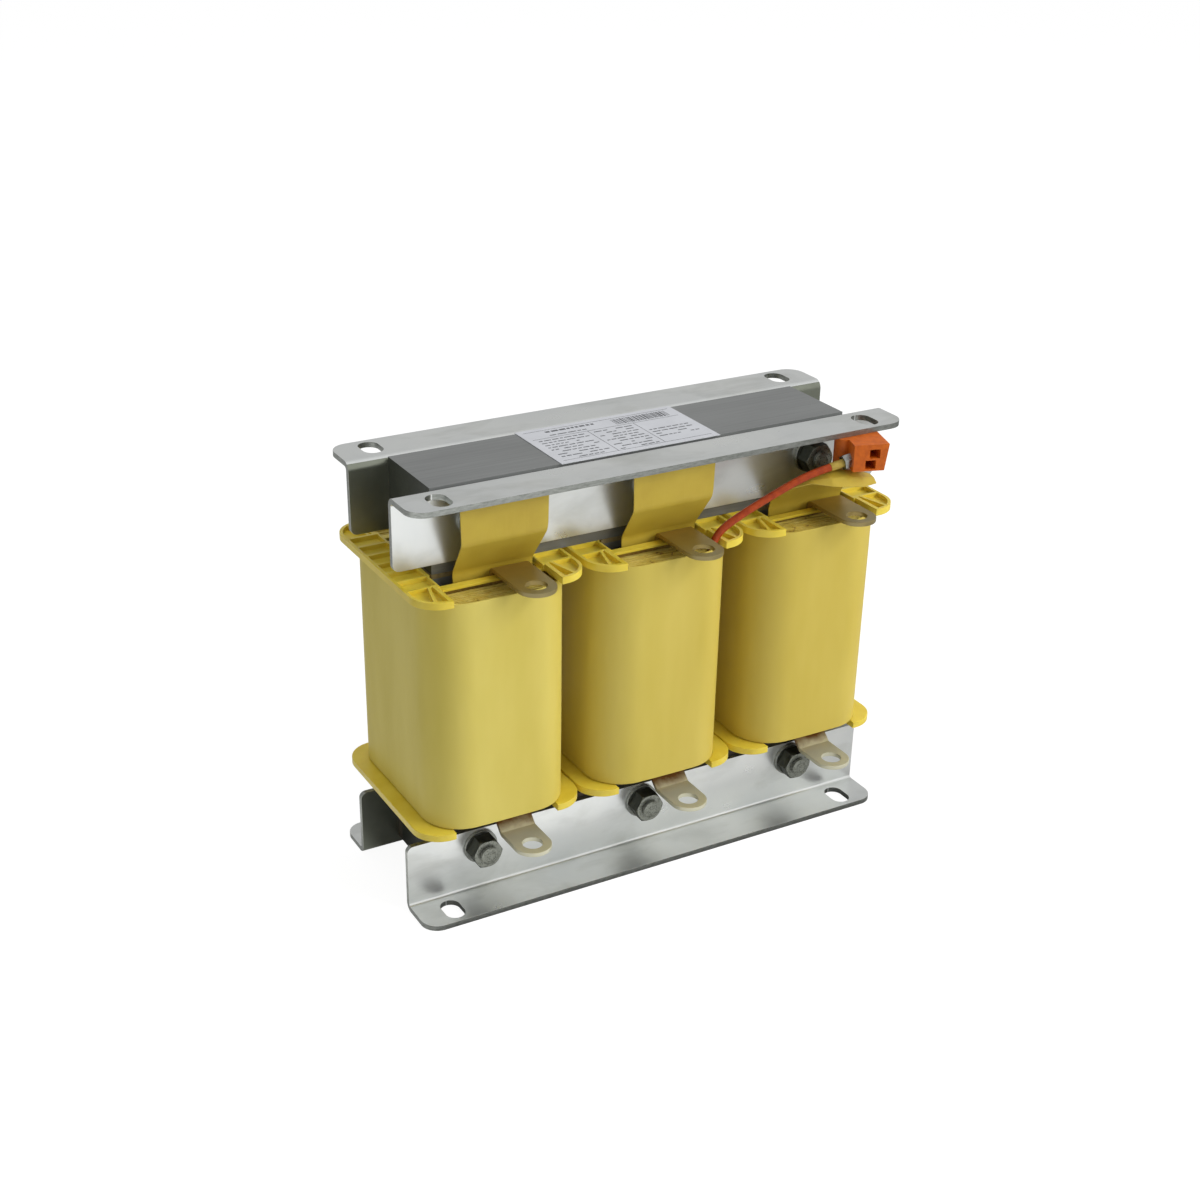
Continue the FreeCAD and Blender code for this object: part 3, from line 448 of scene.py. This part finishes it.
def make_board(name, light, dark):
    """Insulating board, mottled and rough."""
    s = Shader(name, light, 0.6)
    cloud = s.noise(0.5, detail=5, rough=0.6, stretch=(1, 1, 0.5))
    s.set("Base Color", s.tones(cloud, dark, light))
    s.bump(s.noise(2.5, rough=0.6), strength=0.15, distance=0.08)
    return s.material


def make_paper(name, light, dark):
    """Coated paper, nearly even."""
    s = Shader(name, light, 0.36)
    s.set("Base Color", s.tones(s.noise(0.1), dark, light))
    s.bump(s.noise(0.6, detail=2), strength=0.05, distance=0.05)
    return s.material


# Upper bars: the near brown is partly varnish stain and partly painted shade and a painted reflection of the
# yellow sheets above them
UPPER_BAR = {
    "near": (160, 132, 62),
    "far": (148, 126, 64),
    "tip": (142, 129, 86),
    "stain_and_shade_from_y": -24,
    "stain_and_shade_to_y": -52,
    "metallic": 0.5,
}
# Lower bars: the near brown is partly varnish stain and partly painted shade under the coil, tinted by
# painted yellow light from it
LOWER_BAR = {
    "near": (126, 86, 44),
    "far": (216, 209, 176),
    "tip": (202, 200, 176),
    "stain_and_shade_from_y": -25,
    "stain_and_shade_to_y": -34,
    "metallic": 0.35,
}
LOOKS = {
    "core_steel": make_core_steel(),
    "galvanised_steel": make_galvanised(),
    "fastener_steel": make_fastener(),
    "washer_steel": make_metal("washer_steel", (150, 152, 146), (108, 110, 104), 0.28, 0.45),
    "winding_foil": make_winding(),
    "wrap_film": make_wrap(),
    "moulded_yellow": make_moulded(),
    "sheet_yellow": make_sheet(),
    "tube_board": make_board("tube_board", (178, 150, 72), (146, 112, 48)),
    "gap_board": make_board("gap_board", (150, 136, 96), (120, 104, 70)),
    "spacer_board": make_board("spacer_board", (66, 58, 46), (44, 38, 30)),
    "tinned_copper": make_bar("tinned_copper", **UPPER_BAR),
    "block_orange": make_plastic("block_orange", (206, 102, 20), (182, 84, 12), 0.48),
    "collar_steel": make_metal("collar_steel", (170, 172, 168), (130, 132, 128), 0.2, 0.36),
    "lead_red": make_plastic("lead_red", (176, 70, 22), (146, 50, 14), 0.38),
    "sleeve_yellow": make_plastic("sleeve_yellow", (186, 162, 74), (160, 132, 52), 0.42),
    "label_white": make_paper("label_white", (206, 208, 213), (198, 200, 205)),
}
LOWER_BAR_STAIN_AND_SHADE_LOOK = make_bar("tinned_copper_lower_stain_and_shade", **LOWER_BAR)
CUT_EDGE = make_cut_edge()
PAINTED_SHADE_ZINC = make_painted_shade_zinc()
TURN_EDGES = make_turn_edges()
LABEL_INK = make_paper("label_ink", (92, 94, 98), (70, 72, 76))


def set_material(item, material):
    item.data.materials.clear()
    item.data.materials.append(material)


def dress(name, width):
    """A copy of a node with its edges eased, which stands in the node's place."""
    mesh = nodes[name].data.copy()
    work = bmesh.new()
    work.from_mesh(mesh)
    bmesh.ops.remove_doubles(work, verts=work.verts, dist=SAME_PLACE)
    bmesh.ops.dissolve_limit(work, angle_limit=NEARLY_FLAT, verts=work.verts, edges=work.edges)
    for face in work.faces:
        face.smooth = True
    work.to_mesh(mesh)
    work.free()
    mesh.set_sharp_from_angle(angle=SHARP)
    piece = bpy.data.objects.new("dressed_" + name, mesh)
    bpy.context.collection.objects.link(piece)
    bevel = piece.modifiers.new("ease", "BEVEL")
    bevel.width = width * MM
    bevel.segments = EASING_STEPS
    bevel.limit_method = "ANGLE"
    bevel.angle_limit = SHARP
    bevel.use_clamp_overlap = True
    bevel.harden_normals = True
    set_material(piece, LOOKS[SLOT_OF[name]])
    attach(piece, "root")
    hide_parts(name)
    return piece


def finish_angle(piece, name):
    """Gives the sheared edges of a steel angle their own finish, and gives the inside of a rear one painted
    shade and a painted dark reflection.
    """
    edge_look, painted_shade_look = 1, 2
    piece.data.materials.append(CUT_EDGE)
    piece.data.materials.append(PAINTED_SHADE_ZINC)
    low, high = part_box(name)
    flange_edge = low[Y] if "front" in name else high[Y]
    web_edge = low[Z] if "upper" in name else high[Z]
    close = 0.1 * MM
    for face in piece.data.polygons:
        # The inside of a rear angle gets painted shade and a painted dark reflection
        if "rear" in name and face.normal.y < -0.7:
            face.material_index = painted_shade_look
        on_end = abs(face.normal.x) > 0.04
        on_flange_edge = abs(face.center.y - flange_edge) < close
        on_web_edge = abs(face.center.z - web_edge) < close
        if on_end or on_flange_edge or on_web_edge:
            face.material_index = edge_look


def dress_solids():
    """Gives every node its material, and each one with edges in view a dressed copy."""
    dressed = {}
    for name, node in list(nodes.items()):
        set_material(node, LOOKS[SLOT_OF[name]])
        for words, width in EASED_EDGES.items():
            if words in name:
                dressed[name] = dress(name, width)
                break
    for name, piece in dressed.items():
        if "lower_terminal" in name:
            set_material(piece, LOWER_BAR_STAIN_AND_SHADE_LOOK)
        if "angle" in name:
            finish_angle(piece, name)
    return dressed


def new_piece(name, vertices, faces, material, sharp=SHARP):
    """A new mesh, measured from the core's middle plane and smooth where it bends gently."""
    mesh = bpy.data.meshes.new(name)
    mesh.from_pydata([in_row(*vertex) for vertex in vertices], [], faces)
    work = bmesh.new()
    work.from_mesh(mesh)
    bmesh.ops.recalc_face_normals(work, faces=work.faces)
    for face in work.faces:
        face.smooth = True
    work.to_mesh(mesh)
    work.free()
    mesh.set_sharp_from_angle(angle=sharp)
    piece = bpy.data.objects.new(name, mesh)
    bpy.context.collection.objects.link(piece)
    set_material(piece, material)
    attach(piece, "root")
    return piece


def rounded_loop(half_width, half_depth, radius, steps, straight):
    """Points round a rectangle with round corners, anticlockwise, each straight run cut in equal lengths."""
    points = []
    for sign_x, sign_y, start in ((1, 1, 0), (-1, 1, 90), (-1, -1, 180), (1, -1, 270)):
        for i in range(steps + 1):
            turn = math.radians(start + 90 * i / steps)
            points.append((sign_x * (half_width - radius) + radius * math.cos(turn),
                           sign_y * (half_depth - radius) + radius * math.sin(turn)))
    loop = []
    for i, (x, y) in enumerate(points):
        loop.append((x, y))
        next_x, next_y = points[(i + 1) % len(points)]
        if (i + 1) % (steps + 1) == 0:
            for j in range(1, straight):
                share = j / straight
                loop.append((x + (next_x - x) * share, y + (next_y - y) * share))
    return loop


def strip(near, far, count):
    """Faces between two closed loops of vertices, given by the number of each loop's first vertex."""
    return [(near + i, near + (i + 1) % count, far + (i + 1) % count, far + i) for i in range(count)]


def ring_faces(count, rings, first=0):
    """Faces that join closed loops of vertices in a row, and the last loop to the first."""
    faces = []
    for ring in range(rings):
        following = (ring + 1) % rings
        faces += strip(first + ring * count, first + following * count, count)
    return faces


def shell(outer, inner, low, high, centre_x):
    """Vertices of a thin upright wall between two loops; low and high give a level for each point."""
    points = []
    for loop, level in ((outer, low), (outer, high), (inner, high), (inner, low)):
        points += [(centre_x + x, y, level(i)) for i, (x, y) in enumerate(loop)]
    return points


def even(level):
    """The same level all the way round a loop."""
    return lambda i: level


def wavy(level, depth, per_point, phase):
    """A level that goes up and down by a depth on its way round a loop."""
    return lambda i: level + depth * (1 + math.sin(i * per_point + phase)) / 2


def between(start, end, share):
    return start + (end - start) * share


def dress_winding(name, centre_x):
    """The coil as a brown core with the edges of its insulating turns standing out at both ends."""
    (_, _, low), (right, rear, high) = box_of("winding_" + name)
    tube_right, tube_rear, _ = box_of("coil_tube_" + name)[1]
    half_width, half_depth, corner = right - centre_x, rear, 18.0
    tube_width, tube_depth, tube_corner = tube_right - centre_x, tube_rear, 1.3
    steps, straight = 6, 4

    # The core keeps clear of the wrap and the tube, and is set down below the turns' edges
    off_wrap, off_tube, set_down = 0.6, 0.1, 3.0
    outer = rounded_loop(half_width - off_wrap, half_depth - off_wrap, corner - off_wrap, steps, straight)
    inner = rounded_loop(tube_width + off_tube, tube_depth + off_tube, 1.0, steps, straight)
    body = shell(outer, inner, even(low + set_down), even(high - set_down), centre_x)
    core = new_piece("dressed_winding_" + name, body, ring_faces(len(outer), 4), LOOKS["winding_foil"])
    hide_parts("winding_" + name)

    turns, gauge, sunk, wave = 13, 0.55, 6.0, 0.35
    off_wrap, off_tube = 0.2, 0.3
    chance = random.Random(name)
    vertices, faces = [], []
    for turn in range(turns):
        share = (turn + 0.5) / turns
        width = between(tube_width + off_tube, half_width - off_wrap, share)
        depth = between(tube_depth + off_tube, half_depth - off_wrap, share)
        radius = between(tube_corner + off_tube, corner - off_wrap, share)
        dip = chance.uniform(0.0, 0.9)
        phase = chance.uniform(0, 6.28)
        outer = rounded_loop(width, depth, radius, steps, straight)
        inner = rounded_loop(width - gauge, depth - gauge, max(radius - gauge, 0.4), steps, straight)
        top = wavy(high - dip, -wave, 0.7, phase)
        bottom = wavy(low + dip, wave, 0.6, phase)
        for near, far in ((even(high - sunk), top), (bottom, even(low + sunk))):
            first = len(vertices)
            vertices += shell(outer, inner, near, far, centre_x)
            faces += ring_faces(len(outer), 4, first)
    new_piece("turn_edges_" + name, vertices, faces, TURN_EDGES)


def dress_wrap(name, centre_x):
    """The outer wrap, drawn a little unevenly round the coil, with the step where its last turn ends."""
    (left, front, low), (right, rear, high) = box_of("outer_wrap_" + name)
    half_width, half_depth, corner = (right - left) / 2, (rear - front) / 2, 18.5
    wall, skin, last_turn, slack = 0.9, 0.02, 0.14, 0.36
    seam_start, seam_end = 0.62, 0.92
    waves_across, waves_up = 0.045, 0.014
    steps, straight, levels = 10, 14, 26
    outer = rounded_loop(half_width, half_depth, corner, steps, straight)
    inner = rounded_loop(half_width - wall, half_depth - wall, corner - wall, steps, straight)
    vertices = []
    for level in range(levels + 1):
        height = between(low, high, level / levels)
        for i, (x, y) in enumerate(outer):
            place = Vector((x * waves_across + centre_x, y * waves_across, height * waves_up))
            inset = skin + slack * (noise.noise(place) + 1) / 2
            if not seam_start < i / len(outer) < seam_end:
                inset += last_turn
            shrink = 1 - inset / math.hypot(x, y)
            vertices.append((centre_x + x * shrink, y * shrink, height))
    for height in (high, low):
        vertices += [(centre_x + x, y, height) for x, y in inner]
    faces = ring_faces(len(outer), levels + 3)
    piece = new_piece("dressed_wrap_" + name, vertices, faces, LOOKS["wrap_film"],
                      sharp=math.radians(50))
    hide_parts("outer_wrap_" + name)


def dress_lead():
    """The sensor's lead, on one smooth line from the middle coil to the terminal block."""
    data = bpy.data.curves.new("lead_line", "CURVE")
    data.dimensions = "3D"
    data.bevel_depth = LEAD_DIAMETER / 2 * MM
    data.bevel_resolution = 6
    data.resolution_u = 8
    line = data.splines.new("NURBS")
    line.points.add(len(LEAD_ROUTE) - 1)
    for point, place in zip(line.points, LEAD_ROUTE):
        point.co = (*in_row(*place), 1.0)
    line.order_u = 3
    line.use_endpoint_u = True
    lead = bpy.data.objects.new("dressed_sensor_lead", data)
    bpy.context.collection.objects.link(lead)
    set_material(lead, LOOKS["lead_red"])
    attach(lead, "root")
    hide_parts("sensor_lead")


class Slabs:
    """Thin flat boxes between the same two levels, all in one mesh."""

    def __init__(self, bottom, top):
        self.levels = (bottom, top)
        self.vertices = []
        self.faces = []

    def add(self, x_low, x_high, y_low, y_high):
        first = len(self.vertices)
        for z in self.levels:
            self.vertices += [(x_low, y_low, z), (x_high, y_low, z), (x_high, y_high, z), (x_low, y_high, z)]
        for face in ((0, 3, 2, 1), (4, 5, 6, 7), (0, 1, 5, 4), (1, 2, 6, 5), (2, 3, 7, 6), (3, 0, 4, 7)):
            self.faces.append(tuple(first + i for i in face))

    def finish(self, name, material):
        return new_piece(name, self.vertices, self.faces, material)


def dress_label():
    """A plain rating label: paper with ruled fields and rows of short marks that spell nothing."""
    (left, front, low), (right, rear, high) = box_of("rating_label")
    ink, sunk = 0.03, 0.01
    sheet = Slabs(low, high - ink)
    sheet.add(left, right, front, rear)
    paper = sheet.finish("dressed_rating_label", LOOKS["label_white"])
    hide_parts("rating_label")

    marks = Slabs(high - ink - sunk, high)
    chance = random.Random(7)

    def row(x_low, x_high, level, tall, filled):
        """A row of short marks, with a share of its places filled."""
        shortest, longest, space = 1.2, 4.5, 0.7
        x = x_low
        while x < x_high - shortest:
            wide = chance.uniform(shortest, longest)
            if chance.random() < filled:
                marks.add(x, min(x + wide, x_high), level, level + tall)
            x += wide + space

    # A title of two rows, two fields of nine rows, and a field of four at the right
    large, small, pitch = 1.7, 0.8, 2.9
    row(left + 12, left + 36, rear - 6.5, large, 1.0)
    row(left + 12, left + 30, rear - 10.5, small, 1.0)
    for i in range(9):
        level = rear - 15.5 - pitch * i
        row(left + 4, left + 27, level, small, 0.85)
        row(left + 31, left + 50, level, small, 0.75)
    for i in range(4):
        row(left + 54, right - 4, rear - 24 - pitch * i, small, 0.8)

    # Rules round the fields and between them
    rule, margin = 0.25, 2.5
    bottom, middle, top = front + 3.0, rear - 12.6, rear - 3.2
    for y in (middle, top, bottom):
        marks.add(left + margin, right - margin, y, y + rule)
    for x in (left + 29, left + 52):
        marks.add(x, x + rule, bottom, middle)

    # Upright bars in the corner
    x = left + 45
    while x < right - 6:
        wide = chance.choice((0.3, 0.5, 0.9))
        marks.add(x, x + wide, rear - 11.0, rear - 4.6)
        x += wide + chance.choice((0.35, 0.6))
    marks.finish("label_marks", LABEL_INK)


def stud_profile(nut_face):
    """Radius and place along a stud, outwards from its nut: thread ridges, then a ring cut in its end."""
    root, crest, pitch, ridges = 3.7, 4.12, 0.45, 4
    start, end = nut_face - 0.1, nut_face - 2.0
    groove, middle = end + 0.15, end + 0.05
    profile = []
    for i in range(ridges):
        ridge = start - pitch * i
        profile += [(root, ridge), (crest, ridge - 0.22)]
    profile += [(root, end + 0.1), (2.6, end)]
    profile += [(2.45, groove), (1.9, groove)]
    profile += [(1.8, middle), (0.05, middle)]
    return profile


def dress_stud_ends():
    """Thread ridges and a ring on the face of each stud end that stands out of its nut."""
    vertices, faces = [], []
    count = 28
    for shift, level, nut_face in (UPPER_BOLTS, LOWER_BOLTS):
        profile = stud_profile(nut_face)
        for side in (-1, 0, 1):
            middle = side * BOLT_PITCH + shift
            first = len(vertices)
            last = first + (len(profile) - 1) * count
            for radius, y in profile:
                for i in range(count):
                    turn = 2 * math.pi * i / count
                    vertices.append((middle + radius * math.cos(turn), y, level + radius * math.sin(turn)))
            for near in range(first, last, count):
                faces += strip(near, near + count, count)
            faces.append(tuple(range(last, last + count)))
    new_piece("stud_ends", vertices, faces, LOOKS["fastener_steel"],
              sharp=math.radians(30))


def make_floor():
    """White floor: it lights the object from below, and the camera sees it white but for a soft shadow."""
    half_size = 6.0
    mesh = bpy.data.meshes.new("floor")
    corners = [(x * half_size, y * half_size, 0) for x, y in ((-1, -1), (1, -1), (1, 1), (-1, 1))]
    mesh.from_pydata(corners, [], [(0, 1, 2, 3)])
    floor = bpy.data.objects.new("floor", mesh)
    bpy.context.collection.objects.link(floor)
    s = Shader("floor_white", (222, 222, 222), 0.8)
    s.set("Base Color", s.tones(s.noise(0.002, detail=2), dark=(219, 219, 219), light=(225, 225, 225)))

    # In reflections it grows darker to the right and behind, and a painted shadow makes it darkest under the
    # object
    spot = s.place()
    across, deep = s.part(spot, X), s.part(spot, Y)
    slant = s.maths("ADD", across, s.maths("MULTIPLY", deep, 0.3))
    to_the_right = s.span(slant, -30, 180, 1.2, 0.32)
    behind = s.span(deep, 30, 120, 1.0, 0.45)
    half_width, half_depth = 128, 50
    beside = s.maths("ABSOLUTE", s.maths("DIVIDE", across, half_width))
    before = s.maths("ABSOLUTE", s.maths("DIVIDE", deep, half_depth))
    # Painted shadow: the glow seen in reflections drops low inside the object's footprint
    painted_shadow_under_object = s.span(s.maths("MAXIMUM", beside, before), 0.85, 1.1, 0.06, 1.0)
    reflected = s.maths("MULTIPLY", s.maths("MULTIPLY", to_the_right, behind), painted_shadow_under_object)

    # The camera sees a glow just short of white, and a dull surface on it that takes the shadow
    glow = s.new("ShaderNodeEmission")
    to_camera = s.rays("Is Camera Ray", "Is Transmission Ray")
    s.feed(glow.inputs["Strength"], s.choose(to_camera, reflected, 0.93))
    dull = s.new("ShaderNodeBsdfDiffuse")
    s.feed(dull.inputs["Color"], (0.16, 0.16, 0.16, 1))
    seen = s.new("ShaderNodeAddShader")
    s.feed(seen.inputs[0], glow.outputs[0])
    s.feed(seen.inputs[1], dull.outputs[0])
    surface = s.new("ShaderNodeMixShader")
    s.feed(surface.inputs[0], s.rays("Is Camera Ray", "Is Glossy Ray", "Is Transmission Ray"))
    s.feed(surface.inputs[1], s.shader.outputs[0])
    s.feed(surface.inputs[2], seen.outputs[0])
    s.feed(s.tree.nodes["Material Output"].inputs["Surface"], surface.outputs[0])
    set_material(floor, s.material)


def make_world():
    """White behind the object, and a plain level of light on it."""
    world = bpy.data.worlds.new("studio")
    world.use_nodes = True
    w = Nodes(world.node_tree)
    background = w.tree.nodes["Background"]
    w.feed(background.inputs["Color"], (1, 1, 1, 1))
    # Reflections are brighter towards the front of the room than towards its back
    direction = w.new("ShaderNodeTexCoord").outputs["Generated"]
    reflected = w.span(w.part(direction, Y), -0.5, 0.7, 1.0, 0.56)
    light, white = 0.4, 1.0
    level = w.choose(w.rays("Is Glossy Ray"), light, reflected)
    level = w.choose(w.rays("Is Camera Ray", "Is Transmission Ray"), level, white)
    w.feed(background.inputs["Strength"], level)
    bpy.context.scene.world = world


def make_light(name, place, size, power):
    """A soft lamp, placed in metres, that points at the middle of the object."""
    lamp = bpy.data.lights.new(name, "AREA")
    lamp.shape = "RECTANGLE"
    lamp.size, lamp.size_y = size
    lamp.energy = power
    item = bpy.data.objects.new(name, lamp)
    item.location = place
    middle = Vector((0, 0, 0.1))
    item.rotation_euler = (middle - Vector(place)).to_track_quat("-Z", "Y").to_euler()
    # The steel angles would throw the lamps straight back as white patches
    item.visible_glossy = False
    bpy.context.collection.objects.link(item)


def make_camera():
    """The photograph's viewpoint, found by fitting the steel angles' edges."""
    place = Vector(in_row(-376.58, -631.59, 455.83))
    yaw, pitch, roll = (math.radians(value) for value in (-28.73, 26.865, 0.465))
    back = Vector((math.sin(yaw) * math.cos(pitch), -math.cos(yaw) * math.cos(pitch), math.sin(pitch)))
    right = Vector((0, 0, 1)).cross(back).normalized()
    up = back.cross(right)
    rolled_right = right * math.cos(roll) + up * math.sin(roll)
    rolled_up = up * math.cos(roll) - right * math.sin(roll)
    turn = Matrix((rolled_right, rolled_up, back)).transposed()
    data = bpy.data.cameras.new("camera")
    data.sensor_width = 36.0
    data.lens = 53.57
    data.shift_x = 0.0333
    data.shift_y = 0.05
    data.clip_start = 0.05
    camera = bpy.data.objects.new("camera", data)
    camera.matrix_world = Matrix.Translation(place) @ turn.to_4x4()
    bpy.context.collection.objects.link(camera)
    bpy.context.scene.camera = camera


pieces = dress_solids()
for coil, centre in COILS.items():
    dress_winding(coil, centre)
    dress_wrap(coil, centre)
dress_lead()
dress_label()
dress_stud_ends()

make_floor()
make_world()
make_light("key", place=(1.05, -1.0, 0.95), size=(1.3, 1.1), power=22)
make_light("top", place=(0.1, 0.3, 1.7), size=(1.4, 1.4), power=7)
make_camera()
bpy.context.scene.view_settings.view_transform = "Standard"
